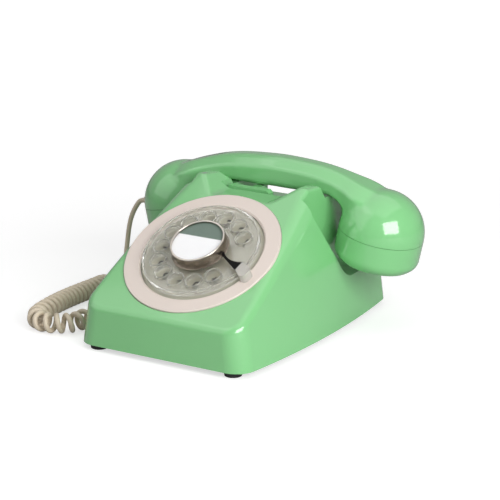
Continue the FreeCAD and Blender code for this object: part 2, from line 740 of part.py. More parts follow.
def dial_back_plate():
    low = BACK_TOP - FRAME_THICK
    plate = rod(FRAME_RADIUS, low, BACK_TOP)
    for angle in (30, 150, 270):
        x, y = polar(PILLAR_PITCH, angle)
        plate = plate.fuse(rod(PILLAR_RADIUS, low, FRAME_TOP - FRAME_THICK, x, y))
    plate = plate.cut(rod(SPINDLE_RADIUS + SHAFT_GAP, low - 1, BACK_TOP + 1))
    plate = plate.cut(rod(PULSE_SHAFT + SHAFT_GAP, low - 1, BACK_TOP + 1, *pulse_spot()))
    return on_dial(plate.cut(rod(GOVERNOR_SHAFT + SHAFT_GAP, low - 1, BACK_TOP + 1, *governor_spot())))


def dial_screws():
    low = FRAME_TOP - FRAME_THICK
    screws = []
    for x, y in dial_screw_spots():
        head = rod(SCREW_HEAD_RADIUS, low - SCREW_HEAD, low, x, y)
        screws.append(on_dial(head.fuse(rod(SCREW_RADIUS, low, -RING_SUNK - 1.5, x, y))))
    return Part.makeCompound(screws)


def dial_spindle():
    low = BACK_TOP - FRAME_THICK
    spindle = rod(SPINDLE_RADIUS, low, WHEEL_TOP)
    flange = rod(SPINDLE_RADIUS + 5, PLATE_TOP + 0.8, WHEEL_LOW)
    return on_dial(spindle.fuse(flange).cut(rod(SCREW_RADIUS + SHAFT_GAP, WHEEL_TOP - 7, WHEEL_TOP + 1)))


def gear(teeth, module, low, high):
    """A spur gear with short involute teeth, one of them pointing along +X."""
    pitch = module * teeth / 2
    pressure = math.radians(20)
    base = pitch * math.cos(pressure)
    tip = pitch + 0.8 * module
    root = pitch - 1.1 * module
    half = math.pi / (2 * teeth) - BACKLASH / (2 * pitch)
    flank = []
    for radius in (root, max(base, root), pitch, (pitch + tip) / 2, tip):
        lean = math.acos(min(1.0, base / radius))
        flank.append((radius, half + math.tan(pressure) - pressure - math.tan(lean) + lean))
    points = []
    for tooth in range(teeth):
        middle = 2 * math.pi * tooth / teeth
        side = [(r, middle - a) for r, a in flank] + [(r, middle + a) for r, a in reversed(flank)]
        points += [Vector(r * math.cos(a), r * math.sin(a), low) for r, a in side]
    points = [p for i, p in enumerate(points) if (p - points[i - 1]).Length > 1e-6]
    wire = Part.makePolygon(points + [points[0]])
    return Part.Face(wire).extrude(Vector(0, 0, high - low))


def turned(shape, degrees):
    copy = shape.copy()
    copy.rotate(Vector(0, 0, 0), Vector(0, 0, 1), degrees)
    return copy


def moved(shape, x, y):
    copy = shape.copy()
    copy.translate(Vector(x, y, 0))
    return copy


def pulse_spot():
    return polar(MAIN_MODULE * (MAIN_TEETH + PINION_TEETH) / 2, PULSE_ANGLE)


def governor_spot():
    """The point on the governor's own circle that its gear pair's centre distance gives."""
    near = math.hypot(*pulse_spot())
    reach = GOVERNOR_MODULE * (PULSE_TEETH + GOVERNOR_TEETH) / 2
    away = (near ** 2 + GOVERNOR_PITCH ** 2 - reach ** 2) / (2 * near * GOVERNOR_PITCH)
    return polar(GOVERNOR_PITCH, PULSE_ANGLE + math.degrees(math.acos(away)))


def main_gear():
    low = MAIN_GEAR_TOP - MAIN_GEAR_THICK
    wheel = turned(gear(MAIN_TEETH, MAIN_MODULE, low, MAIN_GEAR_TOP), PULSE_ANGLE)
    return on_dial(wheel.cut(rod(SPINDLE_RADIUS + SHAFT_GAP, low - 1, MAIN_GEAR_TOP + 1)))


def spring_drum():
    top = MAIN_GEAR_TOP - MAIN_GEAR_THICK
    bore = SPINDLE_RADIUS + SHAFT_GAP
    return on_dial(lathe([(bore, top - DRUM_HEIGHT, 0), (DRUM_RADIUS, top - DRUM_HEIGHT, 1.0),
                          (DRUM_RADIUS, top, 0), (bore, top, 0)]))


def pulse_shaft():
    x, y = pulse_spot()
    top = MAIN_GEAR_TOP + 0.3
    low = MAIN_GEAR_TOP - MAIN_GEAR_THICK - 0.3
    half_tooth = 180 / PINION_TEETH
    pinion = turned(gear(PINION_TEETH, MAIN_MODULE, low, top), PULSE_ANGLE + 180 + half_tooth)
    gx, gy = governor_spot()
    toward = math.degrees(math.atan2(gy - y, gx - x))
    wheel = turned(gear(PULSE_TEETH, GOVERNOR_MODULE, PULSE_GEAR_TOP - PULSE_GEAR_THICK, PULSE_GEAR_TOP),
                   toward)
    cam_top = low - 4
    cam = rod(CAM_RADIUS, cam_top - 2, cam_top)
    for side in (-1, 1):
        cam = cam.cut(rod(CAM_RADIUS, cam_top - 3, cam_top + 1, side * CAM_RADIUS * 1.6, 0))
    shaft = rod(PULSE_SHAFT, BACK_TOP - FRAME_THICK + 0.2, FRAME_TOP - 0.2)
    return on_dial(moved(shaft.fuse([pinion, wheel, cam]), x, y))


def governor_spindle():
    x, y = governor_spot()
    px, py = pulse_spot()
    toward = math.degrees(math.atan2(py - y, px - x))
    low = PULSE_GEAR_TOP - PULSE_GEAR_THICK - 0.3
    pinion = turned(gear(GOVERNOR_TEETH, GOVERNOR_MODULE, low, PULSE_GEAR_TOP + 0.3),
                    toward + 180 / GOVERNOR_TEETH)
    shaft = rod(GOVERNOR_SHAFT, BACK_TOP - FRAME_THICK + 0.2, FRAME_TOP - 0.2)
    arm = box((-GOVERNOR_REACH, GOVERNOR_REACH), (-1, 1), (PULSE_GEAR_TOP + 5, PULSE_GEAR_TOP + 6))
    return on_dial(moved(shaft.fuse([pinion, arm]), x, y))


def governor_weights():
    x, y = governor_spot()
    low = PULSE_GEAR_TOP + 6
    weights = [rod(1.4, low, low + 4, x + side * (GOVERNOR_REACH - 1.4), y) for side in (-1, 1)]
    return Part.makeCompound([on_dial(weight) for weight in weights])


def pulse_contacts():
    x, y = pulse_spot()
    level = MAIN_GEAR_TOP - MAIN_GEAR_THICK - 5.3
    gap = PULSE_TEETH * GOVERNOR_MODULE / 2 + 2.5
    block = box((x + gap, x + gap + 4), (y - 4, y + 4), (BACK_TOP, level + 3))
    leaves = [box((x + CAM_RADIUS + 0.6, x + gap + 1), (y + low, y + low + 0.4), (level - 1, level + 1))
              for low in (-1.2, 1.2)]
    return on_dial(block.fuse(leaves))


# Handset
def cap_frame(side):
    """Placement of a cap's own axis: its seam at z = 0, its face pointing down and inwards."""
    turn = Rotation(Vector(0, 1, 0), side * CAP_TILT)
    return Placement(Vector(side * CAP_X, HANDSET_Y, SEAM_Z), turn)


def handle_section(x, half, under, top):
    """The handle's section at one place along it: a flat underside and a crowned top."""
    shoulder = top - 6.5
    points = [(-half * 0.96, under, 4.0), (half * 0.96, under, 4.0), (half, shoulder, 4.0),
              (half * 0.42, top, 9.0), (-half * 0.42, top, 9.0), (-half, shoulder, 4.0)]
    return outline(points, lambda p: Vector(x, HANDSET_Y + p.x, p.y)).OuterWire


def handle():
    flare = [(0.29, 0.0, 0.0, 1.0), (0.53, 0.4, 0.0, 3.4), (0.66, 1.8, 3.4, 5.9), (0.76, 4.5, 11.0, 8.3),
             (0.88, 7.0, 20.5, 11.4), (0.98, 5.2, 20.0, 14.4), (1.11, -1.5, 17.0, 19.5)]
    right = [(share * CAP_X, HANDLE_HALF + wide, HANDLE_UNDER_Z - drop, HEIGHT - fall)
             for share, wide, drop, fall in flare]
    left = [(-x, half, under, top) for x, half, under, top in reversed(right)]
    stations = left + [(0.0, HANDLE_HALF, HANDLE_UNDER_Z, HEIGHT)] + right
    return Part.makeLoft([handle_section(*station) for station in stations], True, False)


def dome():
    ball = Part.makeSphere(CAP_RADIUS, Vector(0, 0, DOME_RISE))
    skirt = rod(CAP_RADIUS, 0, DOME_RISE)
    return ball.common(rod(CAP_RADIUS, DOME_RISE, 2 * CAP_RADIUS)).fuse(skirt).removeSplitter()


def cup():
    radius = CAP_RADIUS - CUP_WALL
    ball = Part.makeSphere(radius, Vector(0, 0, DOME_RISE))
    return ball.common(rod(radius, DOME_RISE, 2 * radius)).fuse(rod(radius, -1, COLLAR_REACH + SEAM_GAP))


def handset_form():
    """The handle and its two domes in one, with the lines where they meet rounded."""
    shape = handle()
    for side in (-1, 1):
        shape = shape.fuse(placed(dome(), cap_frame(side)))
        lines = []
        for edge in shape.Edges:
            kinds = {type(face.Surface) for face in shape.ancestorsOfType(edge, Part.Face)}
            if kinds == {Part.BSplineSurface, Part.Sphere} and edge.CenterOfMass.x * side > 0:
                lines.append(edge)
        shape = shape.makeFillet(BLEND_ROUND, lines)
    return shape


def handset_body():
    shape = handset_form()
    for side in (-1, 1):
        under = placed(rod(2 * CAP_RADIUS, -2 * CAP_RADIUS, 0), cap_frame(side))
        shape = shape.cut(under).cut(placed(cup(), cap_frame(side)))
    reach = CAP_X - CHANNEL_RADIUS
    channel = bar_along(Vector(-reach, HANDSET_Y, CHANNEL_Z), Vector(1, 0, 0), CHANNEL_RADIUS, 2 * reach)
    shape = shape.cut(channel)
    hole = bar_along(Vector(0, 0, GROMMET_RISE), Vector(-1, 0, 0), GROMMET_RADIUS - 1 + SHAFT_GAP,
                     2 * CAP_RADIUS)
    return shape.cut(placed(hole, cap_frame(-1)))


def screw_cap():
    """A screwed cap with a dished face, drawn about its own axis below the seam."""
    collar = CAP_RADIUS - CUP_WALL - SEAM_GAP / 2
    bore = collar - 2
    floor = 3.0 - CAP_DEPTH
    face = outline([(0, floor, 0), (0, 1.4 - CAP_DEPTH, 0), (CAP_RADIUS * 0.58, -CAP_DEPTH, 0),
                    (CAP_RADIUS * 0.84, -CAP_DEPTH, 3.0), (CAP_RADIUS * 0.995, -CAP_DEPTH * 0.80, 8.0),
                    (CAP_RADIUS, -SEAM_GAP, 0), (collar, -SEAM_GAP, 0), (collar, COLLAR_REACH, 0),
                    (bore, COLLAR_REACH, 0), (bore, -CAP_DEPTH * 0.5, 0), (CAPSULE_RADIUS * 0.9, floor, 0)],
                   lambda p: Vector(p.x, 0, p.y))
    cap = face.revolve(Vector(0, 0, 0), Vector(0, 0, 1), 360)
    for count, pitch in ((1, 0.0), (6, 6.0), (10, 12.0)):
        for index in range(count):
            x, y = polar(pitch, 360 * index / count)
            cap = cap.cut(rod(SOUND_HOLE, -CAP_DEPTH - 1, floor + 1, x, y))
    return cap


def capsule():
    floor = 3.0 - CAP_DEPTH
    radius = CAPSULE_RADIUS * 0.88
    return lathe([(0, floor, 0), (radius, floor, 0), (radius, floor + 2, 0),
                  (CAPSULE_RADIUS, floor + 5.7, 0), (CAPSULE_RADIUS, floor + CAPSULE_THICK, 1.0),
                  (0, floor + CAPSULE_THICK, 0)])


def grommet_tip():
    """Where the cord leaves the grommet, and the way it points."""
    frame = cap_frame(-1)
    tip = frame.multVec(Vector(-CAP_RADIUS - GROMMET_LENGTH, 0, GROMMET_RISE))
    return tip, frame.Rotation.multVec(Vector(-1, 0, 0))


def cord_grommet():
    inner = GROMMET_RADIUS - 1
    seat = CAP_RADIUS + 0.15
    start = CAP_RADIUS - CUP_WALL + SEAM_GAP
    wall = lathe([(0, start, 0), (inner, start, 0),
                  (inner, seat, 0), (GROMMET_RADIUS + 0.8, seat, 0), (GROMMET_RADIUS + 0.6, seat + 2, 0.6),
                  (GROMMET_RADIUS - 0.2, seat + 2.4, 0),
                  (GROMMET_RADIUS - 0.9, CAP_RADIUS + GROMMET_LENGTH, 0.4),
                  (0, CAP_RADIUS + GROMMET_LENGTH, 0)])
    sideways = Placement(Vector(0, 0, GROMMET_RISE), Rotation(Vector(0, 1, 0), -90))
    return placed(placed(wall, sideways), cap_frame(-1))


# Hook switch
def hook_bar():
    low = HOOK_TOP_Z - HOOK_TALL
    rail = front_prism([(HOOK_LEFT, low, 0), (HOOK_RIGHT, low, 0), (HOOK_RIGHT, low + HOOK_TALL / 2, 0),
                        (HOOK_RIGHT - 2, HOOK_TOP_Z, 0), (HOOK_LEFT, HOOK_TOP_Z, 0)],
                       HOOK_FRONT_Y, HOOK_FRONT_Y + HOOK_DEEP)
    half = HOOK_STEM / 2
    stem = box((HOOK_X - half, HOOK_X + half), (HOOK_FRONT_Y, HOOK_FRONT_Y + HOOK_STEM),
               (LEVER_Z + SLIDE_GAP, low + 1))
    pad_top = HANDLE_UNDER_Z - 2 * SLIDE_GAP
    pad = box((HOOK_X - half, HOOK_X + half), (HOOK_FRONT_Y, HOOK_PAD_Y), (pad_top - 4, pad_top))
    return rail.fuse([stem, pad]).removeSplitter()


def hook_lever():
    front = HOOK_FRONT_Y - 1
    thick = 3.0
    half = HOOK_STEM / 2
    arm = box((HOOK_X - half, HOOK_X + half), (front, LEVER_PIN_Y + 8), (LEVER_Z - thick, LEVER_Z))
    eye = bar_along(Vector(HOOK_X - half, LEVER_PIN_Y, LEVER_Z - thick), Vector(1, 0, 0), 3.5, HOOK_STEM)
    pin = bar_along(Vector(HOOK_X - half - 1, LEVER_PIN_Y, LEVER_Z - thick), Vector(1, 0, 0),
                    LEVER_PIN_RADIUS + SHAFT_GAP, HOOK_STEM + 2)
    return arm.fuse(eye).removeSplitter().cut(pin)


def hook_cheeks():
    half = HOOK_STEM / 2 + SLIDE_GAP
    return [(HOOK_X - half - 2, HOOK_X - half), (HOOK_X + half, HOOK_X + half + 2)]


def hook_bracket():
    roof = TROUGH_Z - WALL
    low = LEVER_Z - 14
    cheeks = hook_cheeks()
    shape = box((cheeks[0][0], cheeks[1][1]), (LEVER_PIN_Y + 10, LEVER_PIN_Y + 12), (low, roof))
    for cheek in cheeks:
        shape = shape.fuse(box(cheek, (LEVER_PIN_Y - 5, LEVER_PIN_Y + 10), (low, roof)))
    for cheek in cheeks:
        hole = bar_along(Vector(cheek[0] - 1, LEVER_PIN_Y, LEVER_Z - 3), Vector(1, 0, 0),
                         LEVER_PIN_RADIUS + SHAFT_GAP, 4)
        shape = shape.cut(hole)
    return shape.removeSplitter()


def hook_pin():
    cheeks = hook_cheeks()
    return bar_along(Vector(cheeks[0][0], LEVER_PIN_Y, LEVER_Z - 3), Vector(1, 0, 0), LEVER_PIN_RADIUS,
                     cheeks[1][1] - cheeks[0][0])


def hook_contacts():
    cheeks = hook_cheeks()
    low = LEVER_Z - 14
    return box((cheeks[0][1], cheeks[1][0]), (LEVER_PIN_Y + 2, LEVER_PIN_Y + 10), (low, low + 4))


# Ringer
def gong():
    rim = GONG_RIM_Z
    top = rim + GONG_HEIGHT
    wall = GONG_WALL
    return lathe([(GONG_RADIUS - wall, rim, 0), (GONG_RADIUS, rim, 0), (GONG_RADIUS, top, 9.0),
                  (SCREW_RADIUS + SHAFT_GAP, top, 0), (SCREW_RADIUS + SHAFT_GAP, top - wall, 0),
                  (GONG_RADIUS - wall, top - wall, 7.5)])


def gong_posts():
    top = GONG_RIM_Z + GONG_HEIGHT - GONG_WALL
    posts = []
    for x in (-GONG_X, GONG_X):
        post = rod(3, BASE_TOP, top, x, GONG_Y).fuse(rod(6, BASE_TOP, BASE_TOP + 1.5, x, GONG_Y))
        posts.append(post.cut(rod(SCREW_RADIUS + SHAFT_GAP, top - 7, top + 1, x, GONG_Y)))
    return Part.makeCompound(posts)


def bell_screws():
    top = GONG_RIM_Z + GONG_HEIGHT
    screws = []
    for x in (-GONG_X, GONG_X):
        head = rod(SCREW_HEAD_RADIUS, top, top + SCREW_HEAD, x, GONG_Y)
        screws.append(head.fuse(rod(SCREW_RADIUS, top - 7, top, x, GONG_Y)))
    return Part.makeCompound(screws)


def ringer_frame():
    half = COIL_X + COIL_RADIUS
    yoke_y = CLAPPER_Y - 18
    plate = box((-half, half), (yoke_y, CLAPPER_Y + 5), (BASE_TOP, BASE_TOP + 2))
    yoke = box((-half, half), (yoke_y, yoke_y + 2), (BASE_TOP, CLAPPER_Z + COIL_RADIUS))
    pin = rod(1.5, BASE_TOP, CLAPPER_Z + 6, 0, CLAPPER_Y)
    collar = rod(3, BASE_TOP, CLAPPER_Z - 2 - SLIDE_GAP, 0, CLAPPER_Y)
    return plate.fuse([yoke, pin, collar]).removeSplitter()


def ringer_coils():
    start = CLAPPER_Y - 16
    coils = []
    for x in (-COIL_X, COIL_X):
        winding = bar_along(Vector(x, start, CLAPPER_Z), Vector(0, 1, 0), COIL_RADIUS, 11)
        pole = bar_along(Vector(x, start, CLAPPER_Z), Vector(0, 1, 0), 2.5, 13.3)
        coils.append(winding.fuse(pole))
    return Part.makeCompound(coils)


def clapper():
    low = CLAPPER_Z - 2
    high = CLAPPER_Z + 2
    hub = rod(3.5, low, high, 0, CLAPPER_Y)
    armature = box((-COIL_X - 3, COIL_X + 3), (CLAPPER_Y - 1.5, CLAPPER_Y + 1.5), (low, high))
    wire = bar_along(Vector(0, CLAPPER_Y, CLAPPER_Z), Vector(0, 1, 0), 0.8, GONG_Y - CLAPPER_Y)
    ball = Part.makeSphere(CLAPPER_BALL, Vector(0, GONG_Y, CLAPPER_Z))
    return hub.fuse([armature, wire, ball]).cut(rod(1.5 + SHAFT_GAP, low - 1, high + 1, 0, CLAPPER_Y))


# Handset cord
def cord_start():
    return Vector(handset_socket_x() - PLUG_OUT, HANDSET_SOCKET_Y, SOCKET_BASE_Z + SOCKET_TALL / 2)


def cord_plug():
    start = cord_start()
    half = SOCKET_MOUTH / 2 - SLIDE_GAP
    tall = SOCKET_MOUTH_TALL / 2 - SLIDE_GAP
    face = start.x + 1.5
    inside = handset_socket_x() + SOCKET_DEEP - 4
    body = box((face, inside), (start.y - half, start.y + half), (start.z - tall, start.z + tall))
    boot = bar_along(start, Vector(1, 0, 0), CORD_RADIUS + 0.7, 2)
    return body.fuse(boot)


def cord_route():
    """Points that the cord's line bends towards, from its plug to the handset's grommet."""
    start = cord_start()
    tip, way = grommet_tip()
    low = FLOOR_AXIS
    floor = [(-84.5, -62.0, 10.0), (-84.0, -72.0, low + 0.3), (-87.0, -82.0, low), (-97.0, -89.5, low),
             (-109.0, -90.0, low), (-118.0, -80.5, low), (-121.5, -64.0, low), (-124.0, -44.0, low),
             (-124.3, -22.0, low), (-123.3, 0.0, low), (-124.5, 18.0, low), (-127.5, 32.0, 8.5),
             (-131.3, 43.0, 14.0), (-132.3, 47.5, 27.0), (-130.8, HANDSET_Y, 40.0),
             (-127.8, HANDSET_Y, 50.0)]
    lead = [start, start + Vector(-4, 0, 0), start + Vector(-9, 0, 0)]
    return lead + [Vector(*p) for p in floor] + [tip + way * 5, tip + way * 2, tip]


def route_curve():
    poles = cord_route()
    spans = len(poles) - 2
    curve = Part.BSplineCurve()
    curve.buildFromPolesMultsKnots(poles, [3] + [1] * (spans - 1) + [3], list(range(spans + 1)), False, 2)
    return curve


def helix_samples():
    """The cord's own line as points: straight leads, and curls that follow the route between."""
    curve = route_curve()
    first, last = curve.FirstParameter, curve.LastParameter
    length = curve.length(first, last)
    count = int(length / CORD_STEP)
    curl_end = length - CURL_END
    points = []
    phase = 0.0
    across = None
    for index in range(count + 1):
        along = min(length, index * length / count)
        at = curve.parameterAtDistance(along, first)
        centre = curve.value(at)
        way = curve.tangent(at)[0]
        across = Vector(0, 0, 1) if across is None else across
        across = (across - way * across.dot(way)).normalize()
        beside = way.cross(across)
        fade = min(1.0, max(0.0, (along - OPEN_UNTIL) / OPEN_FADE))
        pitch = CURL_OPEN + (CURL_CLOSE - CURL_OPEN) * fade
        grow = min(1.0, max(0.0, (along - CURL_START) / CURL_RAMP))
        shrink = min(1.0, max(0.0, (curl_end - along) / CURL_RAMP))
        swell = min(grow, shrink)
        radius = CURL_RADIUS * swell * swell * (3 - 2 * swell)
        if swell > 0:
            phase += 2 * math.pi * (length / count) / pitch
        points.append((centre + across * (radius * math.cos(phase)) + beside * (radius * math.sin(phase)),
                       phase, along))
    return points


def half_arc(start, way, end):
    """The arc that leaves one point along a direction and reaches another."""
    chord = end - start
    angle = way.getAngle(chord)
    if angle < 1e-4:
        return Part.LineSegment(start, end).toShape()
    unit = Vector(chord).normalize()
    bulge = (way - unit * way.dot(unit)).normalize()
    middle = start + chord * 0.5 + bulge * (chord.Length / 2 * math.tan(angle / 2))
    return Part.Arc(start, middle, end).toShape()


def biarc(start, way, end, end_way):
    """Two tangent arcs between two points with given directions."""
    chord = end - start
    both = way + end_way
    spread = 2 * (1 - way.dot(end_way))
    if spread < 1e-9:
        return [Part.LineSegment(start, end).toShape()]
    along = chord.dot(both)
    reach = (math.sqrt(along ** 2 + spread * chord.dot(chord)) - along) / spread
    joint = (start + end + (way - end_way) * reach) * 0.5
    first = half_arc(start, way, joint)
    second = half_arc(end, end_way * -1, joint)
    return [first, second]


def handset_cord():
    samples = helix_samples()
    marks = [0]
    step_lead = int(4.0 / CORD_STEP)
    for index in range(1, len(samples) - 1):
        turned_by = samples[index][1] - samples[marks[-1]][1]
        straight = samples[index][1] == samples[index - 1][1] and index - marks[-1] >= step_lead
        if turned_by >= math.pi / 2 or straight:
            marks.append(index)
    marks = [m for m in marks if m == 0 or len(samples) - 1 - m > 4] + [len(samples) - 1]
    start_way = Vector(-1, 0, 0)
    end_way = grommet_tip()[1] * -1
    ways = [start_way]
    for mark in marks[1:-1]:
        ways.append((samples[mark + 1][0] - samples[mark - 1][0]).normalize())
    ways.append(end_way)
    run = 2 * CORD_RADIUS
    knots = [samples[mark][0] for mark in marks]
    first_end = knots[0] + start_way * run
    last_start = knots[-1] - end_way * run
    inner = [(p, w) for p, w, m in zip(knots, ways, marks)
             if run * 1.5 < samples[m][2] < samples[-1][2] - run * 1.5]
    path = [(first_end, start_way)] + inner + [(last_start, end_way)]
    edges = [Part.LineSegment(knots[0], first_end).toShape()]
    for (p, w), (q, v) in zip(path, path[1:]):
        edges += biarc(p, w, q, v)
    edges.append(Part.LineSegment(last_start, knots[-1]).toShape())
    edges = Part.__sortEdges__(edges)
    wire = Part.Wire(edges)
    ring = Part.Wire([Part.Circle(knots[0], start_way, CORD_RADIUS).toShape()])
    shell = Part.BRepOffsetAPI.MakePipeShell(wire)
    shell.add(ring)
    shell.build()
    shell.makeSolid()
    return shell.shape()


def nodes():
    """Every node's name with its shape."""
    shapes = {
        "case_shell": case_shell(), "base_plate": base_plate(), "base_screws": base_screws(),
        "circuit_board": circuit_board(), "board_components": board_components(),
        "line_socket": line_socket(), "handset_socket": handset_socket(),
        "dial_ring": dial_ring(), "number_plate": number_plate(), "finger_wheel": finger_wheel(),
        "hub_cup": hub_cup(), "hub_card": hub_card(), "hub_lens": hub_lens(), "hub_ring": hub_ring(),
        "hub_screw": hub_screw(), "finger_stop": finger_stop(), "stop_bracket": stop_bracket(),
        "dial_frame": dial_frame(),
        "dial_bush": dial_bush(), "dial_back_plate": dial_back_plate(), "dial_screws": dial_screws(),
        "dial_spindle": dial_spindle(), "main_gear": main_gear(), "spring_drum": spring_drum(),
        "pulse_shaft": pulse_shaft(), "governor_spindle": governor_spindle(),
        "governor_weights": governor_weights(), "pulse_contacts": pulse_contacts(),
        "handset_body": handset_body(), "ear_cap": placed(screw_cap(), cap_frame(1)),
        "mouth_cap": placed(screw_cap(), cap_frame(-1)),
        "receiver_capsule": placed(capsule(), cap_frame(1)),
        "microphone_capsule": placed(capsule(), cap_frame(-1)), "cord_grommet": cord_grommet(),
        "hook_bar": hook_bar(), "hook_lever": hook_lever(), "hook_bracket": hook_bracket(),
        "hook_pin": hook_pin(), "hook_contacts": hook_contacts(),
        "bell_left": moved(gong(), -GONG_X, GONG_Y), "bell_right": moved(gong(), GONG_X, GONG_Y),
        "gong_posts": gong_posts(), "bell_screws": bell_screws(), "ringer_frame": ringer_frame(),
        "ringer_coils": ringer_coils(), "clapper": clapper(), "cord_plug": cord_plug(),
        "handset_cord": handset_cord(),
    }
    for name, x, y in foot_spots():
        shapes[name] = foot(x, y)
    return shapes


os.makedirs("parts", exist_ok=True)
for node, shape in nodes().items():
    shape.exportStep("parts/%s.step" % node)
    state = "" if shape.isValid() else "INVALID"
    print("%-20s solids %d volume %9.0f %s" % (node, len(shape.Solids), shape.Volume, state))
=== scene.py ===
import math

import bmesh
import bpy
from mathutils import Matrix, Vector


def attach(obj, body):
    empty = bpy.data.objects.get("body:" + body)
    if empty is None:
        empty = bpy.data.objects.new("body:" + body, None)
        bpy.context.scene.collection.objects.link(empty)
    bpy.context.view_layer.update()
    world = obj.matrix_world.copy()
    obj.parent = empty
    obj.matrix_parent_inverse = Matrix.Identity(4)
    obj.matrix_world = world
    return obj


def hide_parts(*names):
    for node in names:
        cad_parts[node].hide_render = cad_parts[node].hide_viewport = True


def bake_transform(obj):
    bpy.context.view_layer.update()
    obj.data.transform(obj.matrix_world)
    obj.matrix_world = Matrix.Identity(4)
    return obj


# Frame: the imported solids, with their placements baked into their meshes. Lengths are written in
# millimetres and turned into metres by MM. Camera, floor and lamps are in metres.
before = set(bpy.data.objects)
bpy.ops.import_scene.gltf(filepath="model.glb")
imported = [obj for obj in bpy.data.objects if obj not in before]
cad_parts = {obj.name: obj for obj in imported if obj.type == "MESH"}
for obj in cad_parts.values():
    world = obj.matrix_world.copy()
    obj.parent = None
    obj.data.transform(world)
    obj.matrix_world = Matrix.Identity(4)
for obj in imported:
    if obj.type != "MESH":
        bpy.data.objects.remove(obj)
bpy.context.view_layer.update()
MM = 0.001
scene = bpy.context.scene
scene.view_settings.view_transform = "Standard"

# Camera: at the photograph's viewing angle, looking along its own axes, with the small shift
# that the picture's framing needs.
BACK = Vector((0.5168, -0.8113, 0.2733)).normalized()
RIGHT = Vector((0.8434, 0.5373, 0.0)).normalized()
UP = BACK.cross(RIGHT)
AIM = Vector((0, 0, 0.05))
DISTANCE = 1.44473
SENSOR_WIDTH = 36.0
FOCAL_LENGTH = 151.93
SHIFT_RIGHT = 0.01226
SHIFT_UP = 0.00764
NEAR_LIMIT = 0.01
camera_data = bpy.data.cameras.new("camera")
camera_data.sensor_width = SENSOR_WIDTH
camera_data.lens = FOCAL_LENGTH
camera_data.shift_x = SHIFT_RIGHT
camera_data.shift_y = SHIFT_UP
camera_data.clip_start = NEAR_LIMIT
camera = bpy.data.objects.new("camera", camera_data)
scene.collection.objects.link(camera)
turn = Matrix((RIGHT, UP, BACK)).transposed().to_4x4()
camera.matrix_world = Matrix.Translation(AIM + BACK * DISTANCE) @ turn
scene.camera = camera


def add_node(tree, kind, place, options=None, **sockets):
    """Puts one node in a tree, sets its options, and then its sockets by name."""
    node = tree.nodes.new(kind)
    node.location = place
    for name, value in (options or {}).items():
        setattr(node, name, value)
    for name, value in sockets.items():
        node.inputs[name.replace("_", " ")].default_value = value
    return node


def link(tree, source, output, target, socket):
    """Joins an output of one node to a socket of another."""
    tree.links.new(source.outputs[output], target.inputs[socket])


def grey(level):
    """A colour without a tint."""
    return level, level, level


def surface(name, colour, roughness, **sockets):
    """A new principled material, with its tree and shader for further nodes."""
    material = bpy.data.materials.new(name)
    material.use_nodes = True
    tree = material.node_tree
    shader = tree.nodes["Principled BSDF"]
    shader.inputs["Base Color"].default_value = (*colour, 1.0)
    shader.inputs["Roughness"].default_value = roughness
    for socket, value in sockets.items():
        shader.inputs[socket.replace("_", " ")].default_value = value
    return material, tree, shader


def mottle(tree, shader, dark, light, scale, low, high):
    """Slow tone change over a surface, with a little change of gloss."""
    place = add_node(tree, "ShaderNodeTexCoord", (-900, 0))
    noise = add_node(tree, "ShaderNodeTexNoise", (-700, 0), Scale=scale, Detail=4.0, Roughness=0.55)
    tone = add_node(tree, "ShaderNodeMix", (-450, 100), {"data_type": "RGBA"},
                    A=(*dark, 1.0), B=(*light, 1.0))
    gloss = add_node(tree, "ShaderNodeMapRange", (-450, -150), To_Min=low, To_Max=high)
    link(tree, place, "Object", noise, "Vector")
    link(tree, noise, "Fac", tone, "Factor")
    link(tree, noise, "Fac", gloss, "Value")
    link(tree, tone, "Result", shader, "Base Color")
    link(tree, gloss, "Result", shader, "Roughness")
    return place


def grain(tree, shader, place, scale, depth):
    """Fine relief of a moulded, cast or brushed surface."""
    noise = add_node(tree, "ShaderNodeTexNoise", (-700, -400), Scale=scale, Detail=3.0)
    bump = add_node(tree, "ShaderNodeBump", (-400, -400), Strength=0.35, Distance=depth)
    link(tree, place, "Object", noise, "Vector")
    link(tree, noise, "Fac", bump, "Height")
    link(tree, bump, "Normal", shader, "Normal")


def finish_of(name, dark, light, roughness, spread, mottle_scale, grain_scale, grain_depth, **sockets):
    """A solid moulded or metal surface: tone, gloss and relief together."""
    material, tree, shader = surface(name, light, roughness, **sockets)
    place = mottle(tree, shader, dark, light, mottle_scale, roughness - spread, roughness + spread)
    grain(tree, shader, place, grain_scale, grain_depth)
    return material


def dress(material, *nodes):
    """Gives CAD nodes a material, smoothly shaded as their solids are."""
    for node in nodes:
        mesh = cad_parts[node].data
        mesh.materials.clear()
        mesh.materials.append(material)
